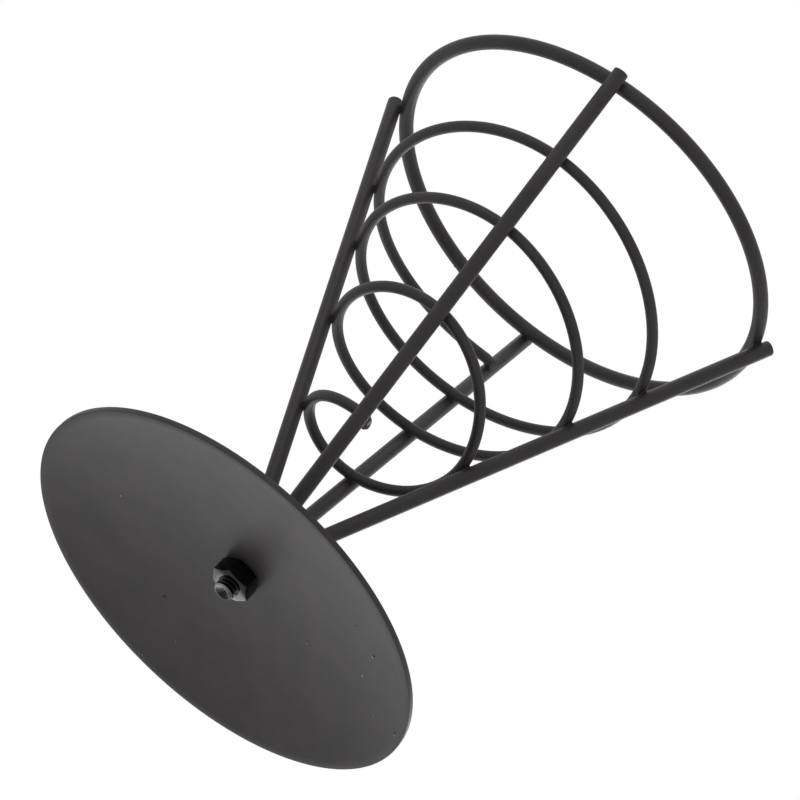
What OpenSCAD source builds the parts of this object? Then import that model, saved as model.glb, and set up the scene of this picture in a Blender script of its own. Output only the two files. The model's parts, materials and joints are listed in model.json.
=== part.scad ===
// Wire cone basket on a round dished base.
// Four straight ribs rise from a boss on the base and splay out to a ring at the mouth. A thinner
// wire winds up the inside of the ribs as a cone of three and a half turns. A hex nut under the base
// holds it all. The base stands on z = 0, with the cone's axis along +Z and the front rib at -Y.

/* [Base plate] */
// Diameter of the round base
base_d = 127; // [110:1:150]
// Thickness of the sheet steel
sheet_t = 2; // [1.5:0.1:2.5]
// How far the middle of the base is raised above the table
dish_h = 9; // [9:0.5:12]
// Width of the flat band at the rim that stands on the table
foot_w = 1.5; // [0.8:0.1:3]
// Diameter of the flat middle where the boss and the nut seat
seat_d = 16; // [15:1:24]
// Diameter of the hole for the shank
hole_d = 7; // [6.5:0.1:8]

/* [Centre stud] */
// Diameter of the round boss that carries the ribs
boss_d = 13; // [13:0.5:15]
// Height of the boss above the base plate
boss_h = 7; // [6.5:0.5:10]
// Diameter of the threaded shank
shank_d = 6.35; // [6:0.05:6.4]
// Gap between the end of the shank and the table
shank_gap = 0.5; // [0.2:0.1:1]
// Chamfer on the boss and on the shank's end
stud_chamfer = 0.8; // [0.4:0.1:1]

/* [Fixing nut] */
// Width of the nut across its flats
nut_af = 11.1; // [10:0.1:13]
// Height of the nut
nut_h = 5.6; // [5:0.1:6.5]
// Diameter of the round faces that the chamfer leaves on the nut
nut_face_d = 10.7; // [9.5:0.1:11]
// Angle of the chamfer against the nut's faces
nut_chamfer = 30; // [20:1:40]
// Turn of the nut around the axis, as it was tightened
nut_turn = 20; // [0:1:59]

/* [Ribs] */
// Diameter of the rib wire
rib_d = 4.6; // [4:0.1:5]
// Height at which the middle lines of the ribs would meet on the axis
rib_apex = 9; // [7:0.5:10]
// Half angle of the cone that the ribs stand on
rib_lean = 22.6; // [18:0.1:26]
// Height of the middle of a rib's top end
rib_top = 172.8; // [172:0.2:176]
// Direction of each rib as welded: front, right, rear, left
rib_angles = [-91.2, 0.4, 94.5, 176.4]; // [-180:0.1:180]
// Chamfer on a rib's top end
rib_chamfer = 0.4; // [0.2:0.1:0.8]

/* [Top ring] */
// Diameter of the ring's wire
ring_d = 4.4; // [3.6:0.1:5]
// Height of the ring's middle line
ring_z = 172; // [170:0.5:173]
// Direction in which the two ends of the ring's wire are joined
ring_weld = 122; // [105:1:165]

/* [Spiral wire] */
// Diameter of the spiral's wire
spiral_d = 3.3; // [2.6:0.1:3.6]
// Height of the wire at every quarter turn, from the front towards the left
turn_heights = [62, 65.5, 67.5, 79, 95.5, 95.5, 100.5, 111, 123.5, 121.5, 125.5, 134.5, 146.5,
                142, 149]; // [60:0.5:155]
// How far the wire sinks into a rib at each weld
weld_bite = 0.2; // [0.1:0.05:0.3]
// Turns of wire that stand free before the first weld
start_stub = 0.025; // [0.02:0.005:0.05]
// How far the wire drops from its first weld to its free end
start_drop = 2; // [0:0.5:3]
// Turns of wire up to the bend at its upper end
bend_turn = 3.478; // [3.47:0.001:3.48]
// Turns of wire past the bend
end_run = 0.012; // [0.01:0.001:0.02]
// How far the wire drops from the bend to its upper end
end_drop = 1; // [0:0.5:3]
// Rings of facets in one turn of the wire
rings_per_turn = 72; // [36:12:96]
// Sides of the wire's section
wire_sides = 12; // [8:2:16]

/* [Hidden] */

$fn = 96;
powder_black = [0.17, 0.17, 0.18];
nut_black = [0.06, 0.06, 0.07];
eps = 0.01;
reach = 2 * base_d;

// Base plate: one ball's shell, cut flat at the rim and in the middle
base_r = base_d / 2;
inner_r = base_r - foot_w;
seat_r = seat_d / 2;
ball_z = (pow(seat_r, 2) + pow(dish_h, 2) - pow(inner_r, 2)) / (2 * dish_h);
ball_r = norm([inner_r, ball_z]);
plate_top = dish_h + sheet_t;

// Heights on the stud
boss_top = plate_top + boss_h;
nut_bottom = dish_h - nut_h;
nut_face_r = nut_face_d / 2;

// Ribs and ring touch at their sides, less the bite of the weld
rib_r = rib_d / 2;
function rib_radius(z) = (z - rib_apex) * tan(rib_lean);
function inside_rib(wire_d) = (rib_r + wire_d / 2 - weld_bite) / cos(rib_lean);
ring_r = rib_radius(ring_z) - inside_rib(ring_d);

// The spiral's middle line, by the number of turns from the front
last_quarter = len(turn_heights) - 1;
last_turn = bend_turn + end_run;
function height_at(i) = turn_heights[max(0, min(last_quarter, i))];
function smooth(a, b, c, d, t) =
    b + t * (c - a) / 2 + t * t * (a - 2.5 * b + 2 * c - d / 2) + t * t * t * (1.5 * (b - c) + (d - a) / 2);
function even_height(n) =
    let (q = 4 * n, i = max(0, min(last_quarter - 1, floor(q))))
    smooth(height_at(i - 1), height_at(i), height_at(i + 1), height_at(i + 2), q - i);
function turn_height(n) =
    n < 0 ? even_height(n) + start_drop * n / start_stub
    : n < bend_turn ? even_height(n)
    : even_height(bend_turn) - end_drop * (n - bend_turn) / end_run;
function turn_angle(n) = rib_angles[0] - 360 * n;
function spiral_point(n) =
    let (z = turn_height(n), r = rib_radius(z) - inside_rib(spiral_d), a = turn_angle(n))
    [r * cos(a), r * sin(a), z];
function unit(v) = v / norm(v);
function spiral_run(n) = unit(spiral_point(n + 0.002) - spiral_point(n - 0.002));

// The turns at which the wire passes a rib
function first_pass(angle) = let (back = rib_angles[0] - angle) (back - 360 * floor(back / 360)) / 360;
function passes(angle) = [for (n = [first_pass(angle) : 1 : last_turn]) n];

// The hollow side of the base, up to a flat seat for the nut
module dish_hollow() {
    intersection() {
        translate([0, 0, ball_z]) sphere(r = ball_r);
        translate([0, 0, dish_h - reach / 2]) cube(reach, center = true);
    }
}

// A round plate pressed to a shallow dish, with a hole in the middle
module base_plate() {
    color(powder_black)
    difference() {
        intersection() {
            translate([0, 0, ball_z]) sphere(r = ball_r + sheet_t);
            cylinder(r = base_r, h = plate_top);
        }
        dish_hollow();
        translate([0, 0, dish_h - 1]) cylinder(d = hole_d, h = sheet_t + 2);
    }
}

// A cylinder from z = 0 with a chamfer at its top
module chamfered_rod(r, h, chamfer) {
    cylinder(r = r, h = h - chamfer);
    translate([0, 0, h - chamfer]) cylinder(r1 = r, r2 = r - chamfer, h = chamfer);
}

// A turned boss on the plate, with its shank going down through the hole
module centre_stud() {
    color(powder_black) {
        translate([0, 0, plate_top]) chamfered_rod(boss_d / 2, boss_h, stud_chamfer / 2);
        translate([0, 0, plate_top + eps]) mirror([0, 0, 1])
            chamfered_rod(shank_d / 2, plate_top + eps - shank_gap, stud_chamfer);
    }
}

// A hex nut, its corners chamfered on both faces
module fixing_nut() {
    corner_r = nut_af / 2 / cos(30);
    chamfer_r = nut_face_r + nut_h / tan(nut_chamfer);
    color(nut_black)
    translate([0, 0, nut_bottom]) difference() {
        intersection() {
            rotate([0, 0, nut_turn]) cylinder(r = corner_r, h = nut_h, $fn = 6);
            cylinder(r1 = nut_face_r, r2 = chamfer_r, h = nut_h);
            cylinder(r1 = chamfer_r, r2 = nut_face_r, h = nut_h);
        }
        translate([0, 0, -1]) cylinder(d = shank_d, h = nut_h + 2);
    }
}

// The wire ring at the mouth
module ring_wire() {
    translate([0, 0, ring_z]) rotate([0, 0, ring_weld]) rotate_extrude()
        translate([ring_r, 0]) circle(d = ring_d);
}

module top_ring() {
    color(powder_black) ring_wire();
}

// A short straight piece of the spiral, as the seat that it presses into a rib
module spiral_seat(n) {
    run = spiral_run(n);
    translate(spiral_point(n))
        rotate([0, acos(run[2]), atan2(run[1], run[0])])
        cylinder(d = spiral_d, h = 4 * spiral_d, center = true);
}

// A straight rod from the boss to the ring, with a shallow seat at each weld
module rib(angle) {
    rib_len = (rib_top - rib_apex) / cos(rib_lean);
    color(powder_black)
    difference() {
        rotate([0, 0, angle]) translate([0, 0, rib_apex]) rotate([0, rib_lean, 0])
            chamfered_rod(rib_r, rib_len, rib_chamfer);
        translate([0, 0, boss_top - reach / 2]) cube(reach, center = true);
        ring_wire();
        for (n = passes(angle)) spiral_seat(n);
    }
}

module rib_front() { rib(rib_angles[0]); }
module rib_right() { rib(rib_angles[1]); }
module rib_rear() { rib(rib_angles[2]); }
module rib_left() { rib(rib_angles[3]); }

// The conical spiral, swept along its middle line with both ends closed
function wire_section(n) =
    let (
        run = spiral_run(n),
        side = unit(cross([0, 0, 1], run)),
        rise = cross(run, side)
    )
    [for (k = [0 : wire_sides - 1])
        let (t = 360 * k / wire_sides)
        spiral_point(n) + spiral_d / 2 * (cos(t) * side + sin(t) * rise)];

module spiral_wire() {
    steps = round((bend_turn + start_stub) * rings_per_turn);
    wound = [for (i = [0 : steps]) wire_section(-start_stub + (bend_turn + start_stub) * i / steps)];
    rings = concat(wound, [wire_section(last_turn)]);
    last = len(rings) - 1;
    sides = [for (i = [0 : last - 1], k = [0 : wire_sides - 1])
        let (k2 = (k + 1) % wire_sides, a = i * wire_sides, b = a + wire_sides)
        [a + k, a + k2, b + k2, b + k]];
    first_end = [for (k = [0 : wire_sides - 1]) wire_sides - 1 - k];
    last_end = [for (k = [0 : wire_sides - 1]) last * wire_sides + k];
    color(powder_black)
    polyhedron(points = [for (ring = rings, p = ring) p], faces = concat(sides, [first_end, last_end]));
}

base_plate();
centre_stud();
fixing_nut();
rib_front();
rib_right();
rib_rear();
rib_left();
top_ring();
spiral_wire();
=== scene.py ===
"""Dresses the wire cone basket: smooth wires, welds, a threaded stud and a satin powder coat.

The basket stands on z = 0 with the axis of its cone along +Z and its front rib at -Y. Sizes are in
metres, written as millimetres times MM.
"""

from __future__ import annotations

import json
import logging
import math
from dataclasses import dataclass
from enum import Enum
from functools import cache

import bmesh
import bpy
from bmesh.types import BMEdge, BMesh, BMVert
from mathutils import Matrix, Vector

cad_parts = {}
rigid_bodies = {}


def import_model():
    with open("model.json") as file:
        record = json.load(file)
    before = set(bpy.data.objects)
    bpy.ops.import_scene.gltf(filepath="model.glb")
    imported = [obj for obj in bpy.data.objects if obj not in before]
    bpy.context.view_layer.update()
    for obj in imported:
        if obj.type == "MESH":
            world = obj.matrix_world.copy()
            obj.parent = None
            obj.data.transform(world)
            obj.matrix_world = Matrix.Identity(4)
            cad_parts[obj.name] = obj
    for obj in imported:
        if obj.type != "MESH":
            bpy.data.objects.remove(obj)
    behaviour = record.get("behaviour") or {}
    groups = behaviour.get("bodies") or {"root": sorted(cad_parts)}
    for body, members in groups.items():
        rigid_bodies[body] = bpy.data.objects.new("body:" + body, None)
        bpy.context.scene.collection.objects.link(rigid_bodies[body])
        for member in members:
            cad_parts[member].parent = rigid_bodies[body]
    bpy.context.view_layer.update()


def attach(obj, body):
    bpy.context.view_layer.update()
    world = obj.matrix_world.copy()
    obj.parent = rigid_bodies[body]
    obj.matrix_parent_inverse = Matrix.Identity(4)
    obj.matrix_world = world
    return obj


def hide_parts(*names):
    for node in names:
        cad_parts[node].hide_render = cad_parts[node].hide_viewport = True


MM = 0.001
FULL_TURN = 2 * math.pi
QUARTER_TURN = math.pi / 2
SIXTH_TURN = math.pi / 3
SHARP_ANGLE = math.radians(35)
JOIN_DISTANCE = 0.002 * MM
CUT_DISTANCE = 0.0001 * MM
UP = Vector((0, 0, 1))
BODY = "root"

Colour = tuple[float, float, float]
Point = tuple[float, float, float]
Range = tuple[float, float]
Socket = bpy.types.NodeSocket
WHITE: Colour = (1, 1, 1)
MATH = "ShaderNodeMath"
VECTOR_MATH = "ShaderNodeVectorMath"

log = logging.getLogger("cone_basket")


class Slot(Enum):
    """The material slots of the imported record."""

    POWDER_COAT = "powder_coat"
    NUT_BLACK = "nut_black"


class Side(Enum):
    """The four sides that a rib stands on, each with its direction in degrees as welded."""

    FRONT = -91.2
    RIGHT = 0.4
    REAR = 94.5
    LEFT = 176.4

    @property
    def angle(self) -> float:
        """The rib's direction around the axis, in radians."""
        return math.radians(self.value)

    @property
    def label(self) -> str:
        """The side's name in small letters, for the names of pieces and nodes."""
        return self.name.lower()


def around(radius: float, angle: float, height: float) -> Vector:
    """The point at a radius, an angle around the axis and a height."""
    return Vector((radius * math.cos(angle), radius * math.sin(angle), height))


# Finishes


@dataclass(frozen=True)
class Pattern:
    """A noise pattern: its cells per metre, its finer octaves and how strongly those show."""

    scale: float
    detail: float = 2
    roughness: float = 0.5


@dataclass(frozen=True)
class Relief:
    """How a pattern stands out of a surface: the share of it that shows, and its height."""

    strength: float
    depth: float


def feed(socket: Socket, value: float | Colour | Point | Socket) -> None:
    """Links a node's output to a socket, or sets a number, a colour or a vector on the socket itself.

    Args:
        socket: The socket that is fed.
        value: The output, number, colour or vector.
    """
    if isinstance(value, Socket):
        socket.id_data.links.new(value, socket)
    elif socket.type == "RGBA":
        socket.default_value = (*value, 1)
    else:
        socket.default_value = value


def combine(operation: str, first: Socket, second: Socket | Point, kind: str = MATH) -> bpy.types.Node:
    """Adds a node that combines two values.

    Args:
        operation: The name of the operation.
        first: The first value.
        second: The second value.
        kind: The node's kind.

    Returns:
        The node.
    """
    node = first.id_data.nodes.new(kind)
    node.operation = operation
    feed(node.inputs[0], first)
    feed(node.inputs[1], second)
    return node


class Shader:
    """A small helper that grows one material's node tree around its Principled shader."""

    def __init__(self, name: str) -> None:
        """Starts a material with a Principled shader and object coordinates.

        Args:
            name: The material's name.
        """
        self.material = bpy.data.materials.new(name)
        self.material.use_nodes = True
        self.tree = self.material.node_tree
        self.surface = self.tree.nodes["Principled BSDF"]
        self.place = self.node("ShaderNodeTexCoord").outputs["Object"]

    def node(self, kind: str, **inputs: float | Colour | Socket) -> bpy.types.Node:
        """Adds a node and feeds its inputs.

        Args:
            kind: The node's kind.
            inputs: What each input takes, by the input's name with _ for a space.

        Returns:
            The node.
        """
        node = self.tree.nodes.new(kind)
        for name, value in inputs.items():
            feed(node.inputs[name.replace("_", " ")], value)
        return node

    def give(self, name: str, value: float | Colour | Socket) -> None:
        """Gives the Principled shader a number, a colour or the output of a node."""
        feed(self.surface.inputs[name], value)

    def noise(self, pattern: Pattern) -> Socket:
        """Adds a noise pattern on object coordinates.

        Args:
            pattern: The pattern.

        Returns:
            The pattern's grey value.
        """
        sizes = {"Scale": pattern.scale, "Detail": pattern.detail, "Roughness": pattern.roughness}
        return self.node("ShaderNodeTexNoise", Vector=self.place, **sizes).outputs["Fac"]

    def spread(self, value: Socket, low: float, high: float, start: float = 0.3, end: float = 0.7) -> Socket:
        """Maps a value onto a range of numbers.

        Args:
            value: The value.
            low: The number at the start.
            high: The number at the end.
            start: The value that gives the low number.
            end: The value that gives the high number.

        Returns:
            The mapped value.
        """
        sizes = {"From_Min": start, "From_Max": end, "To_Min": low, "To_Max": high}
        return self.node("ShaderNodeMapRange", Value=value, **sizes).outputs["Result"]

    def height(self) -> Socket:
        """The height above the table, in metres."""
        return self.node("ShaderNodeSeparateXYZ", Vector=self.place).outputs["Z"]

    def radius(self) -> Socket:
        """The distance from the basket's axis, in metres."""
        flat = combine("MULTIPLY", self.place, (1, 1, 0), VECTOR_MATH).outputs["Vector"]
        return combine("DISTANCE", flat, (0, 0, 0), VECTOR_MATH).outputs["Value"]

    def along(self, angle: float) -> Socket:
        """The distance from the axis in the direction of an angle, below zero on the far side."""
        return combine("DOT_PRODUCT", self.place, around(1, angle, 0), VECTOR_MATH).outputs["Value"]

    def blend(self, share: Socket, under: Colour | Socket, over: Colour | Socket) -> Socket:
        """Mixes a second colour over a first one by a share.

        Args:
            share: The share of the second colour, from 0 to 1.
            under: The first colour, or the output of another mix.
            over: The second colour, or the output of another mix.

        Returns:
            The mixed colour.
        """
        node = self.node("ShaderNodeMix")
        node.data_type = "RGBA"
        for name, value in (("Factor", share), ("A", under), ("B", over)):
            feed(node.inputs[name], value)
        return node.outputs["Result"]

    def mottle(self, pattern: Socket, dark: Colour, light: Colour) -> Socket:
        """Mixes two colours by a noise pattern."""
        return self.blend(self.spread(pattern, 0, 1), dark, light)

    def bump(self, pattern: Socket, relief: Relief, under: Socket | None = None) -> Socket:
        """Adds a bump layer, on top of another one if there is one.

        Args:
            pattern: The pattern that gives the height.
            relief: How the pattern stands out.
            under: The normal of the layer below.

        Returns:
            The bumped normal.
        """
        node = self.node("ShaderNodeBump", Height=pattern, Strength=relief.strength, Distance=relief.depth)
        if under is not None:
            feed(node.inputs["Normal"], under)
        return node.outputs["Normal"]

    def make_metal(self, marks: Pattern, relief: Relief, gloss: Range) -> None:
        """Makes the surface a metal whose fine marks change its gloss and its relief.

        Args:
            marks: The pattern of the marks.
            relief: How the marks stand out.
            gloss: The smallest and the largest roughness.
        """
        pattern = self.noise(marks)
        self.give("Metallic", 1)
        self.give("Roughness", self.spread(pattern, *gloss))
        self.give("Normal", self.bump(pattern, relief))


@dataclass(frozen=True)
class PowderCoat:
    """Satin black powder coat: an even black with a fine orange peel and slightly uneven gloss."""

    name: str = "satin_powder_coat"
    dark: Colour = (0.0237, 0.0201, 0.0219)
    light: Colour = (0.0402, 0.0341, 0.0371)
    gloss: Range = (0.44, 0.54)
    specular: float = 0.26
    cloud: Pattern = Pattern(60, 5, 0.6)
    peel: Pattern = Pattern(900, 1)
    peel_relief: Relief = Relief(0.5, 0.026 * MM)
    grain: Pattern = Pattern(4200)
    grain_relief: Relief = Relief(0.5, 0.004 * MM)

    def material(self) -> bpy.types.Material:
        """Builds the coat's material.

        Returns:
            The material.
        """
        shader = Shader(self.name)
        grain = shader.noise(self.grain)
        shader.give("Base Color", shader.mottle(shader.noise(self.cloud), self.dark, self.light))
        shader.give("Roughness", shader.spread(grain, *self.gloss))
        shader.give("Specular IOR Level", self.specular)
        peel = shader.bump(shader.noise(self.peel), self.peel_relief)
        shader.give("Normal", shader.bump(grain, self.grain_relief, peel))
        return shader.material


@dataclass(frozen=True)
class BlackPlating:
    """Bright black plating on the nut, a little uneven, with painted shade that darkens its front side."""

    name: str = "bright_black_plating"
    dark: Colour = (0.082, 0.079, 0.079)
    light: Colour = (0.122, 0.124, 0.129)
    # Painted shade: the darker colour painted over the nut's front side.
    painted_front_shade: Colour = (0.026, 0.025, 0.028)
    painted_shade_side: float = math.radians(-72)
    painted_shade_reach: Range = (0.8 * MM, 3.0 * MM)
    gloss: Range = (0.16, 0.26)
    cloud: Pattern = Pattern(500, 3)
    marks: Pattern = Pattern(2600)
    relief: Relief = Relief(0.4, 0.01 * MM)

    def material(self) -> bpy.types.Material:
        """Builds the plating's material.

        Returns:
            The material.
        """
        shader = Shader(self.name)
        plain_plating = shader.mottle(shader.noise(self.cloud), self.dark, self.light)
        # Painted shade: the plating darkens towards the painted shade colour on the nut's front side.
        shade_share = shader.spread(shader.along(self.painted_shade_side), 0, 1, *self.painted_shade_reach)
        shader.give("Base Color", shader.blend(shade_share, plain_plating, self.painted_front_shade))
        shader.make_metal(self.marks, self.relief, self.gloss)
        return shader.material


@dataclass(frozen=True)
class DarkOxide:
    """Dark oxide on the threaded shank, lighter on the crests; lighter bare steel at the cut end with a
    painted highlight on one side and painted shade on the other, and painted shade in the end's cup with a
    painted highlight towards one side.
    """

    name: str = "dark_oxide_thread"
    root: Colour = (0.012, 0.0100, 0.0096)
    crest: Colour = (0.030, 0.026, 0.025)
    crest_radii: Range = (2.85 * MM, 3.15 * MM)
    # The cut end's bare steel, painted darker on one side as painted shade and lighter on the other as a
    # painted highlight.
    cut_painted_shade: Colour = (0.070, 0.068, 0.068)
    cut_painted_highlight: Colour = (0.190, 0.187, 0.187)
    cut_heights: Range = (0.95 * MM, 1.1 * MM)
    cut_highlight_side: float = math.radians(-165)
    cut_highlight_reach: Range = (-1.6 * MM, 1.6 * MM)
    # Painted shade in the end's cup, lighter towards one side as a painted highlight.
    cup_painted_shade: Colour = (0.012, 0.0115, 0.0115)
    cup_painted_highlight: Colour = (0.090, 0.088, 0.088)
    cup_radii: Range = (2.40 * MM, 2.50 * MM)
    cup_highlight_side: float = math.radians(-140)
    cup_highlight_reach: Range = (-0.4 * MM, 2.0 * MM)
    gloss: Range = (0.22, 0.34)
    marks: Pattern = Pattern(2600)
    relief: Relief = Relief(0.4, 0.01 * MM)

    def material(self) -> bpy.types.Material:
        """Builds the oxide's material.

        Returns:
            The material.
        """
        shader = Shader(self.name)
        radius, height = shader.radius(), shader.height()
        thread = shader.blend(shader.spread(radius, 0, 1, *self.crest_radii), self.root, self.crest)
        # Painted highlight: the cut end is painted lighter on one side and darker on the other.
        bright = shader.spread(shader.along(self.cut_highlight_side), 0, 1, *self.cut_highlight_reach)
        cut = shader.blend(bright, self.cut_painted_shade, self.cut_painted_highlight)
        # Painted shade in the end's cup, with a painted highlight towards one side.
        pale = shader.spread(shader.along(self.cup_highlight_side), 0, 1, *self.cup_highlight_reach)
        cup = shader.blend(pale, self.cup_painted_shade, self.cup_painted_highlight)
        colour = shader.blend(shader.spread(height, 1, 0, *self.cut_heights), thread, cut)
        shader.give("Base Color", shader.blend(shader.spread(radius, 1, 0, *self.cup_radii), colour, cup))
        shader.make_metal(self.marks, self.relief, self.gloss)
        return shader.material


@dataclass(frozen=True)
class CutSteel:
    """Dull bare steel where a coated wire was cut again at its free end."""

    name: str = "cut_steel"
    dark: Colour = (0.13, 0.128, 0.126)
    light: Colour = (0.26, 0.255, 0.25)
    roughness: float = 0.35
    marks: Pattern = Pattern(1800)
    relief: Relief = Relief(0.4, 0.02 * MM)

    def material(self) -> bpy.types.Material:
        """Builds the steel's material.

        Returns:
            The material.
        """
        shader = Shader(self.name)
        marks = shader.noise(self.marks)
        shader.give("Base Color", shader.mottle(marks, self.dark, self.light))
        shader.give("Metallic", 1)
        shader.give("Roughness", self.roughness)
        shader.give("Normal", shader.bump(marks, self.relief))
        return shader.material


@dataclass(frozen=True)
class GritAndPaintedLight:
    """Specks in the coat: pale grains of dust that also stand for painted highlights, and pits painted near
    black as painted shade.
    """

    name: str
    dark: Colour
    light: Colour
    specular: float
    roughness: float = 0.6
    marks: Pattern = Pattern(3000)

    def material(self) -> bpy.types.Material:
        """Builds the grit's material.

        Returns:
            The material.
        """
        shader = Shader(self.name)
        shader.give("Base Color", shader.mottle(shader.noise(self.marks), self.dark, self.light))
        shader.give("Roughness", self.roughness)
        shader.give("Specular IOR Level", self.specular)
        return shader.material


class Finish(Enum):
    """The finishes of the basket's pieces."""

    COAT = PowderCoat()
    PLATING = BlackPlating()
    OXIDE = DarkOxide()
    STEEL = CutSteel()
    # Pale dust grains that are partly painted highlight.
    PALE_GRIT_AND_HIGHLIGHT = GritAndPaintedLight("pale_grit_and_highlight", dark=(0.30, 0.29, 0.29), light=(0.55, 0.54, 0.54), specular=0.3)
    # Pits painted near black: painted shade.
    PAINTED_SHADE_PIT = GritAndPaintedLight("painted_shade_pit", dark=(0.002, 0.002, 0.002), light=(0.006, 0.006, 0.006), specular=0.05)

    @property
    def slot(self) -> Slot:
        """The record's slot that the finish stands for."""
        bare = {Finish.PLATING, Finish.OXIDE, Finish.STEEL}
        return Slot.NUT_BLACK if self in bare else Slot.POWDER_COAT


@cache
def material_of(finish: Finish) -> bpy.types.Material:
    """The material of a finish, built once."""
    return finish.value.material()


# Helpers for building pieces


def add_object(name: str, data: bpy.types.ID) -> bpy.types.Object:
    """Makes an object of a mesh, a lamp or a camera and puts it in the scene.

    Args:
        name: The object's name.
        data: The mesh, the lamp or the camera.

    Returns:
        The object.
    """
    thing = bpy.data.objects.new(name, data)
    bpy.context.scene.collection.objects.link(thing)
    return thing


def add_piece(bm: BMesh, name: str, finish: Finish, *nodes: str) -> None:
    """Turns a bmesh into a smooth shaded piece, its faces outwards, that rides on the basket.

    Args:
        bm: The bmesh, which is freed.
        name: The piece's name.
        finish: The piece's finish.
        nodes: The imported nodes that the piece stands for.
    """
    bmesh.ops.recalc_face_normals(bm, faces=bm.faces[:])
    mesh = bpy.data.meshes.new(name)
    bm.to_mesh(mesh)
    bm.free()
    mesh.materials.append(material_of(finish))
    mesh.shade_smooth()
    mesh.set_sharp_from_angle(angle=SHARP_ANGLE)
    piece = add_object(name, mesh)
    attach(piece, BODY)
    if nodes:
        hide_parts(*nodes)
    log.info("%s: %d faces", name, len(mesh.polygons))


def start_ring(bm: BMesh, sides: int, place: Matrix) -> tuple[list[BMVert], list[BMEdge]]:
    """Adds an open ring of edges, a circle of radius 1 before it is placed.

    Args:
        bm: The mesh that the ring is added to.
        sides: The number of edges.
        place: The placement of the circle.

    Returns:
        The ring's corners and its edges.
    """
    verts = bmesh.ops.create_circle(bm, cap_ends=False, radius=1, segments=sides, matrix=place)["verts"]
    return verts, list(dict.fromkeys(edge for vert in verts for edge in vert.link_edges))


def grow_ring(bm: BMesh, rim: list[BMEdge]) -> tuple[list[BMVert], list[BMEdge]]:
    """Extrudes a ring of edges in its place.

    Args:
        bm: The mesh.
        rim: The ring's edges.

    Returns:
        The corners and the edges of the new ring.
    """
    grown = bmesh.ops.extrude_edge_only(bm, edges=rim)["geom"]
    verts = [part for part in grown if isinstance(part, BMVert)]
    fresh = set(verts)
    return verts, [part for part in grown if isinstance(part, BMEdge) and fresh.issuperset(part.verts)]


def wire_station(middle: Vector, run: Vector, radius: float) -> Matrix:
    """The placement of a circle of radius 1 as a wire's section.

    Args:
        middle: The section's middle.
        run: The direction in which the wire runs there.
        radius: The section's radius.

    Returns:
        The matrix that turns, scales and moves the circle.
    """
    run = run.normalized()
    across = UP.cross(run).normalized()
    lift = run.cross(across)
    turn = Matrix((across, lift, run)).transposed().to_4x4()
    return Matrix.Translation(middle) @ turn @ Matrix.Diagonal((radius, radius, 1, 1))


def rounded_stations(path: list[Vector], radius: float, edge: float, steps: int = 3) -> list[Matrix]:
    """The stations of a wire along a path, with both cut ends slightly rounded.

    Args:
        path: The points of the wire's middle line, from end to end.
        radius: The wire's radius.
        edge: The radius of the rounding at the cut ends.
        steps: The number of steps in each rounding.

    Returns:
        One matrix for each station, in the order of the path.
    """
    runs = [(after - before).normalized() for before, after in zip(path, path[1:])]
    bends = zip(path[1:-1], runs, runs[1:])
    middles = [wire_station(point, before + after, radius) for point, before, after in bends]
    curve = [step / steps * QUARTER_TURN for step in range(steps + 1)]
    insets = [(edge * (1 - math.cos(turn)), radius - edge * (1 - math.sin(turn))) for turn in curve]
    start = [wire_station(path[0] + runs[0] * inset, runs[0], width) for inset, width in insets]
    end = [wire_station(path[-1] - runs[-1] * inset, runs[-1], width) for inset, width in reversed(insets)]
    return start + middles + end


def swept_wire(stations: list[Matrix], sides: int) -> BMesh:
    """Sweeps a round section through a wire's stations and closes both ends.

    Args:
        stations: The placements of the section along the wire.
        sides: The number of sides of the section.

    Returns:
        The closed wire.
    """
    bm = bmesh.new()
    rim = start_ring(bm, sides, stations[0])[1]
    bmesh.ops.contextual_create(bm, geom=rim)
    for before, after in zip(stations, stations[1:]):
        verts, rim = grow_ring(bm, rim)
        bmesh.ops.transform(bm, matrix=after @ before.inverted(), verts=verts)
    bmesh.ops.contextual_create(bm, geom=rim)
    return bm


def spin_around(bm: BMesh, geom: list[BMVert | BMEdge], steps: int, rise: float = 0.0) -> None:
    """Spins edges once around the basket's axis.

    Args:
        bm: The mesh.
        geom: The corners and edges that are spun.
        steps: The number of steps around the axis.
        rise: How far each step climbs. A spin that climbs doesn't join its own start.
    """
    bmesh.ops.spin(
        bm, geom=geom, axis=UP, dvec=(0, 0, rise), angle=FULL_TURN, steps=steps, use_merge=not rise
    )


def lathe(profile: list[Range], steps: int, closed: bool = False, rise: float = 0.0) -> BMesh:
    """Turns a profile around the basket's axis, level or climbing as a thread does.

    Args:
        profile: Radius and height of each corner of the profile.
        steps: The number of steps around the axis.
        closed: Whether the profile's last corner joins its first.
        rise: How far each step climbs.

    Returns:
        The turned shape.
    """
    bm = bmesh.new()
    verts = [bm.verts.new((radius, 0, height)) for radius, height in profile]
    after = verts[1:] + verts[:1] if closed else verts[1:]
    edges = [bm.edges.new(pair) for pair in zip(verts, after)]
    spin_around(bm, verts + edges, steps, rise)
    bmesh.ops.remove_doubles(bm, verts=bm.verts[:], dist=JOIN_DISTANCE)
    return bm


def round_off(bm: BMesh, edges: list[BMEdge], width: float, segments: int = 3) -> None:
    """Bevels edges to a rounding.

    Args:
        bm: The mesh.
        edges: The edges.
        width: The width of the rounding.
        segments: The number of segments in the rounding.
    """
    bmesh.ops.bevel(
        bm, geom=edges, offset=width, segments=segments, profile=0.5, affect="EDGES", clamp_overlap=True
    )


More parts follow.
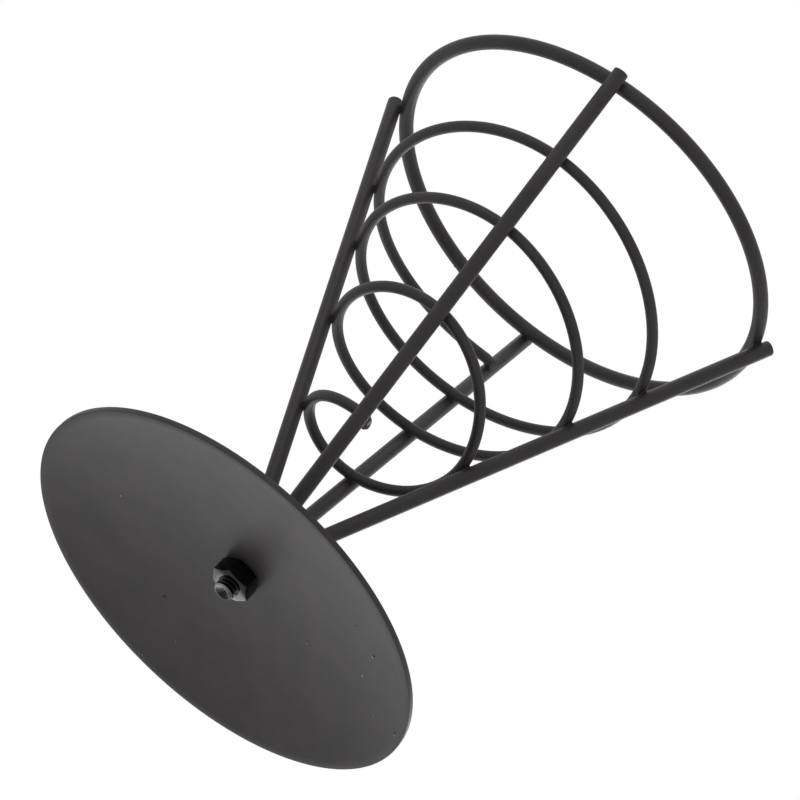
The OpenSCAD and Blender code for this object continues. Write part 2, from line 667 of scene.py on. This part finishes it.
def soften_edges(bm: BMesh, width: float, segments: int = 3, sharper_than: float = SHARP_ANGLE) -> None:
    """Rounds off the sharp edges of a mesh.

    Args:
        bm: The mesh.
        width: The width of the rounding.
        segments: The number of segments in the rounding.
        sharper_than: The smallest angle between two faces that counts as sharp.
    """
    bmesh.ops.recalc_face_normals(bm, faces=bm.faces[:])
    inner = [edge for edge in bm.edges if len(edge.link_faces) == 2]
    round_off(bm, [edge for edge in inner if edge.calc_face_angle() > sharper_than], width, segments)


def cut_off(bm: BMesh, near: list[BMVert], middle: Vector, facing: Vector) -> list[BMEdge]:
    """Cuts off what lies before a plane and closes the cut.

    Args:
        bm: The mesh.
        near: The corners of the stretch that may be cut.
        middle: A point of the plane.
        facing: The direction in which the cut face looks.

    Returns:
        The edges around the cut face.
    """
    inside = set(near)
    parts = [part for part in bm.edges[:] + bm.faces[:] if inside.issuperset(part.verts)]
    cut = bmesh.ops.bisect_plane(
        bm, geom=near + parts, dist=CUT_DISTANCE, plane_co=middle, plane_no=facing, clear_outer=True
    )
    rim = [part for part in cut["geom_cut"] if isinstance(part, BMEdge)]
    bmesh.ops.contextual_create(bm, geom=rim)
    return rim


def add_bead(bm: BMesh, middle: Vector, axes: tuple[Vector, Vector, Vector]) -> None:
    """Adds one oval ball, such as a bead of weld metal.

    Args:
        bm: The mesh that the ball is added to.
        middle: The ball's middle.
        axes: The ball's three half axes.
    """
    shape = Matrix(axes).transposed().to_4x4()
    bmesh.ops.create_icosphere(bm, subdivisions=3, radius=1, matrix=Matrix.Translation(middle) @ shape)


# Sub-assemblies


@dataclass(frozen=True)
class Cone:
    """The cone that the ribs' middle lines lie on, which places every wire."""

    apex: float = 9 * MM
    lean: float = math.radians(22.6)
    rib_r: float = 2.3 * MM
    weld_bite: float = 0.2 * MM

    def radius(self, height: float) -> float:
        """The cone's radius at a height."""
        return (height - self.apex) * math.tan(self.lean)

    def inner_radius(self, height: float, wire_r: float) -> float:
        """The radius at which a wire of the given radius rests against the ribs from inside."""
        return self.radius(height) - (self.rib_r + wire_r - self.weld_bite) / math.cos(self.lean)

    def rib_point(self, height: float, angle: float) -> Vector:
        """The point of a rib's middle line at a height."""
        return around(self.radius(height), angle, height)

    def rib_run(self, angle: float) -> Vector:
        """The direction in which a rib climbs."""
        return around(math.sin(self.lean), angle, math.cos(self.lean))

    def outward(self, angle: float) -> Vector:
        """The direction straight out of the cone at an angle."""
        return around(math.cos(self.lean), angle, -math.sin(self.lean))


@dataclass(frozen=True)
class BasePlate:
    """The round plate, pressed to a shallow dish, with the hole for the stud."""

    width: float = 127 * MM
    sheet: float = 2 * MM
    dish: float = 9 * MM
    foot: float = 1.5 * MM
    seat_r: float = 8 * MM
    hole_r: float = 3.5 * MM
    edge_round: float = 0.13 * MM
    rings: int = 40
    steps: int = 224

    @property
    def inner_r(self) -> float:
        """The radius of the dish at table height."""
        return self.width / 2 - self.foot

    @property
    def ball_z(self) -> float:
        """The height of the middle of the ball that shapes the dish."""
        return (self.seat_r**2 + self.dish**2 - self.inner_r**2) / (2 * self.dish)

    @property
    def ball_r(self) -> float:
        """The radius of the ball that shapes the dish."""
        return math.hypot(self.inner_r, self.ball_z)

    @property
    def top(self) -> float:
        """The height of the plate's flat middle."""
        return self.dish + self.sheet

    def under(self, radius: float) -> float:
        """The height of the underside at a radius."""
        return min(self.dish, self.ball_z + math.sqrt(self.ball_r**2 - radius**2))

    def upper(self, radius: float) -> float:
        """The height of the upper side at a radius."""
        return min(self.top, self.ball_z + math.sqrt((self.ball_r + self.sheet) ** 2 - radius**2))

    def radii(self, reach: float) -> list[float]:
        """The radii of the rings from the flat seat out to a reach."""
        return [self.seat_r + (reach - self.seat_r) * step / self.rings for step in range(self.rings + 1)]

    def profile(self) -> list[Range]:
        """The plate's section, from the hole along the underside to the rim and back on top.

        Returns:
            Radius and height of each corner.
        """
        rim = self.width / 2
        below = [(radius, self.under(radius)) for radius in self.radii(self.inner_r)]
        above = [(radius, self.upper(radius)) for radius in reversed(self.radii(rim))]
        foot = [(rim - 2 * self.edge_round, 0.0), (rim, 0.0)]
        return [(self.hole_r, self.dish), *below, *foot, *above, (self.hole_r, self.top)]

    def build(self) -> None:
        """Builds the plate."""
        bm = lathe(self.profile(), self.steps, closed=True)
        soften_edges(bm, self.edge_round)
        add_piece(bm, "dished_base", Finish.COAT, "base_plate")


@dataclass(frozen=True)
class Stud:
    """The turned boss that carries the ribs, with its threaded shank below.

    The numbers of the tooth are shares of the pitch: where its flank leaves the core, and where its
    crest starts and ends.
    """

    plate: BasePlate
    boss_r: float = 6.5 * MM
    boss_h: float = 7 * MM
    boss_round: float = 0.4 * MM
    shank_r: float = 3.175 * MM
    shank_gap: float = 0.5 * MM
    shank_sunk: float = 0.5 * MM
    pitch: float = 1.27 * MM
    thread_depth: float = 0.62 * MM
    tooth: tuple[float, float, float] = (0.24, 0.56, 0.68)
    end_chamfer: float = 0.5 * MM
    cup_r: float = 2.45 * MM
    cup_floor_r: float = 1.0 * MM
    cup_depth: float = 0.8 * MM
    steps: int = 72

    @property
    def boss_top(self) -> float:
        """The height of the boss's top face."""
        return self.plate.top + self.boss_h

    def boss(self) -> BMesh:
        """Builds the boss, a short turned cylinder with softened edges.

        Returns:
            The closed boss.
        """
        bm = bmesh.new()
        place = Matrix.Translation((0, 0, self.plate.top + self.boss_h / 2))
        sizes = {"radius1": self.boss_r, "radius2": self.boss_r, "depth": self.boss_h}
        bmesh.ops.create_cone(bm, cap_ends=True, segments=self.steps, matrix=place, **sizes)
        soften_edges(bm, self.boss_round)
        return bm

    def thread_profile(self, low: float, high: float) -> list[Range]:
        """The zigzag outline of the thread between two heights.

        Args:
            low: The height of the outline's start.
            high: The height that the outline has to pass.

        Returns:
            Radius and height of each corner.
        """
        core = self.shank_r - self.thread_depth
        tooth = list(zip((core, core, self.shank_r, self.shank_r), (0.0, *self.tooth)))
        turns = math.ceil((high - low) / self.pitch)
        starts = [low + turn * self.pitch for turn in range(turns)]
        corners = [(radius, start + share * self.pitch) for start in starts for radius, share in tooth]
        return corners + [(core, low + turns * self.pitch)]

    def chamfer_end(self, bm: BMesh) -> None:
        """Draws the thread in at the shank's lower end.

        Args:
            bm: The shank.
        """
        for vert in bm.verts:
            widest = self.shank_r - max(0.0, self.shank_gap + self.end_chamfer - vert.co.z)
            across = math.hypot(vert.co.x, vert.co.y)
            if across > widest:
                vert.co.xy *= widest / across

    def hollow_end(self, bm: BMesh) -> None:
        """Sinks a shallow cup into the shank's lower end.

        Args:
            bm: The shank.
        """
        bmesh.ops.recalc_face_normals(bm, faces=bm.faces[:])
        end = min(bm.faces, key=lambda face: face.calc_center_median().z)
        rim_width = self.shank_r - self.end_chamfer - self.cup_r
        slope_width = self.cup_r - self.cup_floor_r
        bmesh.ops.inset_individual(bm, faces=[end], thickness=rim_width, depth=0)
        bmesh.ops.inset_individual(bm, faces=[end], thickness=slope_width, depth=-self.cup_depth)

    def shank(self) -> BMesh:
        """Builds the threaded shank, longer than needed and then cut at both ends.

        Returns:
            The closed shank.
        """
        low, high = self.shank_gap, self.plate.top + self.shank_sunk
        profile = self.thread_profile(low - 2 * self.pitch, high + self.pitch)
        bm = lathe(profile, self.steps, rise=self.pitch / self.steps)
        cut_off(bm, bm.verts[:], UP * low, -UP)
        cut_off(bm, bm.verts[:], UP * high, UP)
        self.chamfer_end(bm)
        self.hollow_end(bm)
        return bm

    def build(self) -> None:
        """Builds the coated boss and the oxidised shank that goes down from it."""
        add_piece(self.boss(), "stud_boss", Finish.COAT, "centre_stud")
        add_piece(self.shank(), "threaded_shank", Finish.OXIDE, "centre_stud")


@dataclass(frozen=True)
class Nut:
    """The hex nut under the plate, chamfered on both faces."""

    plate: BasePlate
    flats: float = 11.1 * MM
    height: float = 5.6 * MM
    face_r: float = 5.35 * MM
    chamfer: float = math.radians(30)
    turn: float = math.radians(20)
    hole_r: float = 2.9 * MM
    sink_r: float = 3.5 * MM
    corner_round: float = 0.12 * MM
    round_segments: int = 2
    sharper_than: float = math.radians(50)
    steps: int = 96

    def outline(self, angle: float) -> float:
        """The distance of the hexagon's side from the axis, in the direction of an angle."""
        within = (angle - self.turn) % SIXTH_TURN - SIXTH_TURN / 2
        return self.flats / 2 / math.cos(within)

    def section(self, angle: float) -> list[Range]:
        """The nut's section in one direction, from the hole's lower end outwards, up and back in.

        Args:
            angle: The direction around the axis.

        Returns:
            Radius and height of each corner.
        """
        low, high = self.plate.dish - self.height, self.plate.dish
        sink = self.sink_r - self.hole_r
        side = self.outline(angle)
        fall = (side - self.face_r) * math.tan(self.chamfer)
        lower = [(self.hole_r, low + sink), (self.sink_r, low), (self.face_r, low), (side, low + fall)]
        upper = [(side, high - fall), (self.face_r, high), (self.sink_r, high), (self.hole_r, high - sink)]
        return lower + upper

    def build(self) -> None:
        """Builds the nut ring by ring and closes its bore."""
        bm = bmesh.new()
        verts, first = start_ring(bm, self.steps, Matrix.Rotation(self.turn, 4, "Z"))
        rim = first
        for index in range(len(self.section(0))):
            if index:
                verts, rim = grow_ring(bm, rim)
            for vert in verts:
                angle = math.atan2(vert.co.y, vert.co.x)
                radius, height = self.section(angle)[index]
                vert.co = around(radius, angle, height)
        bmesh.ops.bridge_loops(bm, edges=first + rim)
        soften_edges(bm, self.corner_round, self.round_segments, self.sharper_than)
        add_piece(bm, "hex_nut", Finish.PLATING, "fixing_nut")


@dataclass(frozen=True)
class Ribs:
    """The four straight rods from the boss to the ring."""

    cone: Cone
    foot_z: float = 17.6 * MM
    top_z: float = 172.8 * MM
    edge_round: float = 0.45 * MM
    sides: int = 40

    def build(self) -> None:
        """Builds the four ribs."""
        for side in Side:
            foot = self.cone.rib_point(self.foot_z, side.angle)
            top = self.cone.rib_point(self.top_z, side.angle)
            path = [foot, (foot + top) / 2, top]
            bm = swept_wire(rounded_stations(path, self.cone.rib_r, self.edge_round), self.sides)
            add_piece(bm, f"{side.label}_rib", Finish.COAT, f"rib_{side.label}")


@dataclass(frozen=True)
class MouthRing:
    """The wire ring at the mouth, inside the ribs' upper ends, closed by a butt weld."""

    cone: Cone
    wire_r: float = 2.2 * MM
    height: float = 172 * MM
    joint: float = math.radians(122)
    joint_swell: float = 0.14 * MM
    joint_reach: float = 1.1 * MM
    sides: int = 36
    steps: int = 288

    def build(self) -> None:
        """Builds the ring with the low collar of its butt weld."""
        bm = bmesh.new()
        radius = self.cone.inner_radius(self.height, self.wire_r)
        place = wire_station(around(radius, 0, self.height), Vector((0, 1, 0)), self.wire_r)
        verts, edges = start_ring(bm, self.sides, place)
        spin_around(bm, verts + edges, self.steps)
        swell = self.wire_r + self.joint_swell
        along = around(self.joint_reach, self.joint + QUARTER_TURN, 0)
        axes = (around(swell, self.joint, 0), along, UP * swell)
        add_bead(bm, around(radius, self.joint, self.height), axes)
        add_piece(bm, "mouth_ring", Finish.COAT, "top_ring")


@dataclass(frozen=True)
class Spiral:
    """The thinner wire that winds up the inside of the ribs as a cone of three and a half turns.

    Its places are given in turns from the front. The heights are those of the quarter turns, in
    millimetres.
    """

    cone: Cone
    wire_r: float = 1.65 * MM
    turn_heights: tuple[float, ...] = (
        62, 65.5, 67.5, 79, 95.5, 95.5, 100.5, 111, 123.5, 121.5, 125.5, 134.5, 146.5, 142, 149,
    )  # fmt: skip
    start_stub: float = 0.025
    start_drop: float = 2 * MM
    bend_turn: float = 3.478
    end_run: float = 0.012
    end_drop: float = 1 * MM
    end_shares: tuple[float, float, float] = (0.35, 0.7, 1)
    edge_round: float = 0.3 * MM
    start_cut: float = -0.017
    end_cut: float = 3.4875
    cut_facing: Point = (0.90, -0.33, -0.28)
    cut_reach: float = 5 * MM
    cut_round: float = 0.2 * MM
    bare_place: Range = (0.36 * MM, -0.9 * MM)
    bare_size: tuple[float, float, float] = (0.92 * MM, 0.5 * MM, 0.04 * MM)
    run_step: float = 0.002
    rings_per_turn: int = 220
    sides: int = 24

    def even_height(self, turns: float) -> float:
        """The height of the wire as it was wound, by a smooth curve through the quarter turns.

        Args:
            turns: The number of turns from the front.

        Returns:
            The height.
        """
        last = len(self.turn_heights) - 1
        index = max(0, min(last - 1, math.floor(4 * turns)))
        t = 4 * turns - index
        a, b, c, d = (self.turn_heights[max(0, min(last, index + step))] for step in (-1, 0, 1, 2))
        square = a - 2.5 * b + 2 * c - d / 2
        cube = 1.5 * (b - c) + (d - a) / 2
        return MM * (b + t * (c - a) / 2 + t * t * square + t**3 * cube)

    def height(self, turns: float) -> float:
        """The height of the wire, with its free end and its bent end.

        Args:
            turns: The number of turns from the front.

        Returns:
            The height.
        """
        if turns < 0:
            return self.even_height(turns) + self.start_drop * turns / self.start_stub
        if turns < self.bend_turn:
            return self.even_height(turns)
        share = (turns - self.bend_turn) / self.end_run
        return self.even_height(self.bend_turn) - self.end_drop * share

    def point(self, turns: float) -> Vector:
        """The point of the wire's middle line at a number of turns from the front."""
        radius = self.cone.inner_radius(self.height(turns), self.wire_r)
        return around(radius, Side.FRONT.angle - FULL_TURN * turns, self.height(turns))

    def run(self, turns: float) -> Vector:
        """The direction in which the wire runs."""
        return (self.point(turns + self.run_step) - self.point(turns - self.run_step)).normalized()

    def passes(self, side: Side) -> list[float]:
        """The numbers of turns at which the wire passes the rib on a side, lowest first."""
        first = (Side.FRONT.angle - side.angle) % FULL_TURN / FULL_TURN
        return [first + turn for turn in range(math.floor(self.bend_turn + self.end_run - first) + 1)]

    def path(self) -> list[Vector]:
        """The points of the wire's middle line.

        Returns:
            The points, from the free lower end to the bent upper end.
        """
        length = self.bend_turn + self.start_stub
        count = round(length * self.rings_per_turn)
        wound = [-self.start_stub + length * step / count for step in range(count + 1)]
        bent = [self.bend_turn + self.end_run * share for share in self.end_shares]
        return [self.point(turns) for turns in wound + bent]

    def build(self) -> None:
        """Builds the wire with a slanting cut at both ends, and the bare patch on the lower cut."""
        facing = Vector(self.cut_facing).normalized()
        bm = swept_wire(rounded_stations(self.path(), self.wire_r, self.edge_round), self.sides)
        for middle in (self.point(self.start_cut), self.point(self.end_cut)):
            near = [vert for vert in bm.verts if (vert.co - middle).length < self.cut_reach]
            rim = cut_off(bm, near, middle, facing)
            round_off(bm, [edge for edge in rim if edge.is_valid], self.cut_round)
        add_piece(bm, "spiral_coil", Finish.COAT, "spiral_wire")
        self.build_bare_patch(facing)

    def build_bare_patch(self, facing: Vector) -> None:
        """Builds the bare patch on the cut face of the free lower end, a thin lens of steel.

        Args:
            facing: The direction that the cut face looks in.
        """
        run = self.run(self.start_cut)
        along = (run - facing * run.dot(facing)).normalized()
        across = facing.cross(along)
        middle = self.point(self.start_cut) + along * self.bare_place[0] + across * self.bare_place[1]
        longer, shorter, thickness = self.bare_size
        long_way, short_way = (along - across).normalized(), (along + across).normalized()
        bm = bmesh.new()
        add_bead(bm, middle, (long_way * longer, short_way * shorter, facing * thickness))
        add_piece(bm, "spiral_bare_patch", Finish.STEEL)


@dataclass(frozen=True)
class Welds:
    """The small beads of metal at the joints of the wires, one piece for each rib."""

    cone: Cone
    stud: Stud
    ring: MouthRing
    spiral: Spiral
    reach: float = 1.45 * MM
    thickness: float = 0.5 * MM
    foot_reach: float = 0.7 * MM

    def add_contact(self, bm: BMesh, side: Side, height: float, run: Vector, wire_r: float) -> None:
        """Adds the bead between a rib and a wire that passes inside it.

        Args:
            bm: The mesh that the bead is added to.
            side: The rib's side.
            height: The height of the wire's middle at the rib.
            run: The direction in which the wire runs there.
            wire_r: The wire's radius.
        """
        out = self.cone.outward(side.angle)
        middle = around(self.cone.inner_radius(height, wire_r), side.angle, height)
        contact = middle + out * (wire_r - self.cone.weld_bite / 2)
        climb = self.cone.rib_run(side.angle)
        add_bead(bm, contact, (run * self.reach, out * self.thickness, climb * self.reach))

    def build(self) -> None:
        """Builds the beads of the four ribs."""
        wide = self.cone.rib_r + self.foot_reach
        for side in Side:
            bm = bmesh.new()
            away, across = around(1, side.angle, 0), around(1, side.angle + QUARTER_TURN, 0)
            self.add_contact(bm, side, self.ring.height, across, self.ring.wire_r)
            for turns in self.spiral.passes(side):
                height, run = self.spiral.height(turns), self.spiral.run(turns)
                self.add_contact(bm, side, height, run, self.spiral.wire_r)
            foot = self.cone.rib_point(self.stud.boss_top, side.angle)
            add_bead(bm, foot, (away * wide, across * wide, UP * self.foot_reach))
            add_piece(bm, f"{side.label}_rib_welds", Finish.COAT)


@dataclass(frozen=True)
class Speck:
    """One speck in the coat: its place around the axis and its half sizes, in millimetres and degrees."""

    radius: float
    angle: float
    length: float
    width: float
    finish: Finish = Finish.PALE_GRIT_AND_HIGHLIGHT


@dataclass(frozen=True)
class Specks:
    """The few pale grains, partly dust and partly painted highlight, and the pits painted black as painted
    shade, in the coat of the base's underside.
    """

    plate: BasePlate
    proud: float = 0.12 * MM
    places: tuple[Speck, ...] = (
        # Pale grains, partly dust and partly painted highlight.
        Speck(39.8, -178, 0.26, 0.15),
        Speck(47.2, 106, 0.20, 0.16),
        Speck(60.9, 110, 0.28, 0.16),
        Speck(26.4, 17, 0.24, 0.16),
        Speck(45.0, -18, 0.26, 0.18),
        Speck(49.1, -17.6, 0.50, 0.24),
        Speck(45.1, -2, 0.24, 0.46),
        Speck(52.9, 10, 0.22, 0.16),
        Speck(60.9, 7, 0.30, 0.18),
        # Pits painted black as painted shade.
        Speck(37.5, 123, 0.44, 0.20, Finish.PAINTED_SHADE_PIT),
        Speck(44.9, -29, 0.22, 0.18, Finish.PAINTED_SHADE_PIT),
        Speck(26.1, 14, 0.28, 0.20, Finish.PAINTED_SHADE_PIT),
        Speck(49.8, -18.8, 0.46, 0.28, Finish.PAINTED_SHADE_PIT),
        Speck(60.8, 5.8, 0.36, 0.20, Finish.PAINTED_SHADE_PIT),
    )

    def add_speck(self, bm: BMesh, speck: Speck) -> None:
        """Adds one speck, lying flat in the underside.

        Args:
            bm: The mesh that the speck is added to.
            speck: The speck.
        """
        angle = math.radians(speck.angle)
        middle = around(speck.radius * MM, angle, self.plate.under(speck.radius * MM))
        out = (UP * self.plate.ball_z - middle).normalized()
        along = out.cross(around(1, angle, 0)).normalized()
        across = along.cross(out)
        add_bead(bm, middle, (along * speck.length * MM, across * speck.width * MM, out * self.proud))

    def build(self) -> None:
        """Builds the pale grains as one piece and the pits of painted shade as another."""
        for name, finish in (("pale_grains_and_highlights", Finish.PALE_GRIT_AND_HIGHLIGHT), ("painted_shade_pits", Finish.PAINTED_SHADE_PIT)):
            bm = bmesh.new()
            for speck in self.places:
                if speck.finish is finish:
                    self.add_speck(bm, speck)
            add_piece(bm, name, finish)


# Stage, light and camera


@dataclass(frozen=True)
class Lamp:
    """One soft lamp: its place in metres and its power in watts."""

    name: str
    place: Point
    power: float


@dataclass(frozen=True)
class Studio:
    """A plain pale floor that shows from above, soft lamps and a white background."""

    floor_size: float = 8.0
    floor_gap: float = 0.05 * MM
    floor_colour: Colour = (0.85, 0.85, 0.85)
    floor_roughness: float = 0.9
    floor_glow: float = 0.25
    floor_fade: Range = (0.2, 1.6)
    ambient: float = 0.5
    lamp_size: float = 0.8
    lamp_aim: Point = (0, 0, 0.09)
    lamps: tuple[Lamp, ...] = (
        Lamp("lamp_behind", (0.38, 1.21, 0.39), 4.5),
        Lamp("lamp_low", (-0.05, 1.24, -0.30), 1.6),
        Lamp("lamp_front", (-0.52, -1.00, 0.74), 2.4),
        Lamp("lamp_above", (-0.42, 0.38, 1.26), 1.5),
    )

    def floor_material(self) -> bpy.types.Material:
        """Builds the floor's look: pale, fading out with distance, and clear to a camera below it.

        Returns:
            The material.
        """
        shader = Shader("pale_floor")
        shader.give("Base Color", self.floor_colour)
        shader.give("Roughness", self.floor_roughness)
        shader.give("Emission Color", WHITE)
        shader.give("Emission Strength", self.floor_glow)
        seen = shader.node("ShaderNodeLightPath").outputs["Is Camera Ray"]
        below = shader.node("ShaderNodeNewGeometry").outputs["Backfacing"]
        above = combine("GREATER_THAN", seen, below).outputs["Value"]
        near = shader.spread(shader.radius(), 1, 0, *self.floor_fade)
        near.node.interpolation_type = "SMOOTHSTEP"
        shown = combine("MULTIPLY", above, near).outputs["Value"]
        clear = shader.node("ShaderNodeBsdfTransparent").outputs["BSDF"]
        mix = shader.node("ShaderNodeMixShader")
        for socket, value in zip(mix.inputs, (shown, clear, shader.surface.outputs["BSDF"])):
            feed(socket, value)
        feed(shader.tree.nodes["Material Output"].inputs["Surface"], mix.outputs["Shader"])
        return shader.material

    def lay_floor(self) -> None:
        """Lays the floor just under the foot of the basket."""
        bm = bmesh.new()
        place = Matrix.Translation((0, 0, -self.floor_gap))
        bmesh.ops.create_grid(bm, x_segments=1, y_segments=1, size=self.floor_size / 2, matrix=place)
        mesh = bpy.data.meshes.new("floor")
        bm.to_mesh(mesh)
        bm.free()
        mesh.materials.append(self.floor_material())
        floor = add_object("floor", mesh)

    def light_world(self) -> None:
        """Makes the world a soft even light that looks white to the camera and in reflections."""
        world = bpy.data.worlds.new("white_studio")
        world.use_nodes = True
        bpy.context.scene.world = world
        tree = world.node_tree
        rays = tree.nodes.new("ShaderNodeLightPath").outputs
        seen = combine("MAXIMUM", rays["Is Camera Ray"], rays["Is Glossy Ray"]).outputs["Value"]
        seen = combine("MAXIMUM", seen, rays["Is Transmission Ray"]).outputs["Value"]
        strength = tree.nodes.new("ShaderNodeMapRange")
        for name, value in (("Value", seen), ("To Min", self.ambient), ("To Max", 1)):
            feed(strength.inputs[name], value)
        background = tree.nodes["Background"]
        feed(background.inputs["Color"], WHITE)
        feed(background.inputs["Strength"], strength.outputs["Result"])

    def hang_lamp(self, lamp: Lamp) -> None:
        """Hangs one square soft lamp that faces the basket.

        Args:
            lamp: The lamp.
        """
        data = bpy.data.lights.new(lamp.name, "AREA")
        data.shape = "SQUARE"
        data.size = self.lamp_size
        data.energy = lamp.power
        thing = add_object(lamp.name, data)
        thing.location = lamp.place
        thing.rotation_mode = "QUATERNION"
        thing.rotation_quaternion = (Vector(self.lamp_aim) - Vector(lamp.place)).to_track_quat("-Z", "Y")
        thing.visible_camera = False

    def build(self) -> None:
        """Builds the floor, the world and the lamps."""
        self.lay_floor()
        self.light_world()
        for lamp in self.lamps:
            self.hang_lamp(lamp)


@dataclass(frozen=True)
class PhotoCamera:
    """The camera, placed as the photograph was taken: from below, with the basket's axis slanting."""

    azimuth: float = math.radians(16.05)
    elevation: float = math.radians(-31.43)
    roll: float = math.radians(43.79)
    distance: float = 1153.9 * MM
    aim: Point = (-1.33 * MM, -0.38 * MM, 84.17 * MM)
    lens: float = 183.45
    sensor: float = 36
    clip: Range = (0.01, 100)

    def build(self) -> None:
        """Makes the camera and sets it as the scene's camera."""
        back = around(math.cos(self.elevation), self.azimuth - QUARTER_TURN, math.sin(self.elevation))
        level = (-back).cross(UP).normalized()
        upright = level.cross(-back)
        right = level * math.cos(self.roll) + upright * math.sin(self.roll)
        above = upright * math.cos(self.roll) - level * math.sin(self.roll)
        data = bpy.data.cameras.new("photo_camera")
        data.lens = self.lens
        data.sensor_width = self.sensor
        data.clip_start, data.clip_end = self.clip
        camera = add_object("photo_camera", data)
        camera.rotation_mode = "QUATERNION"
        camera.rotation_quaternion = Matrix((right, above, back)).transposed().to_quaternion()
        camera.location = Vector(self.aim) + back * self.distance
        bpy.context.scene.camera = camera


def main() -> None:
    """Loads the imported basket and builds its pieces, the stage and the camera."""
    logging.basicConfig(level=logging.INFO, format="%(message)s")
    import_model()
    for thing in list(bpy.data.objects):
        if thing.type in {"LIGHT", "CAMERA"}:
            bpy.data.objects.remove(thing)
    cone = Cone()
    plate = BasePlate()
    stud = Stud(plate)
    ring = MouthRing(cone)
    spiral = Spiral(cone)
    welds = Welds(cone, stud, ring, spiral)
    for part in (plate, stud, Nut(plate), Ribs(cone), ring, spiral, welds, Specks(plate)):
        part.build()
    Studio().build()
    PhotoCamera().build()
    bpy.context.scene.view_settings.view_transform = "Standard"


if __name__ == "__main__":
    main()
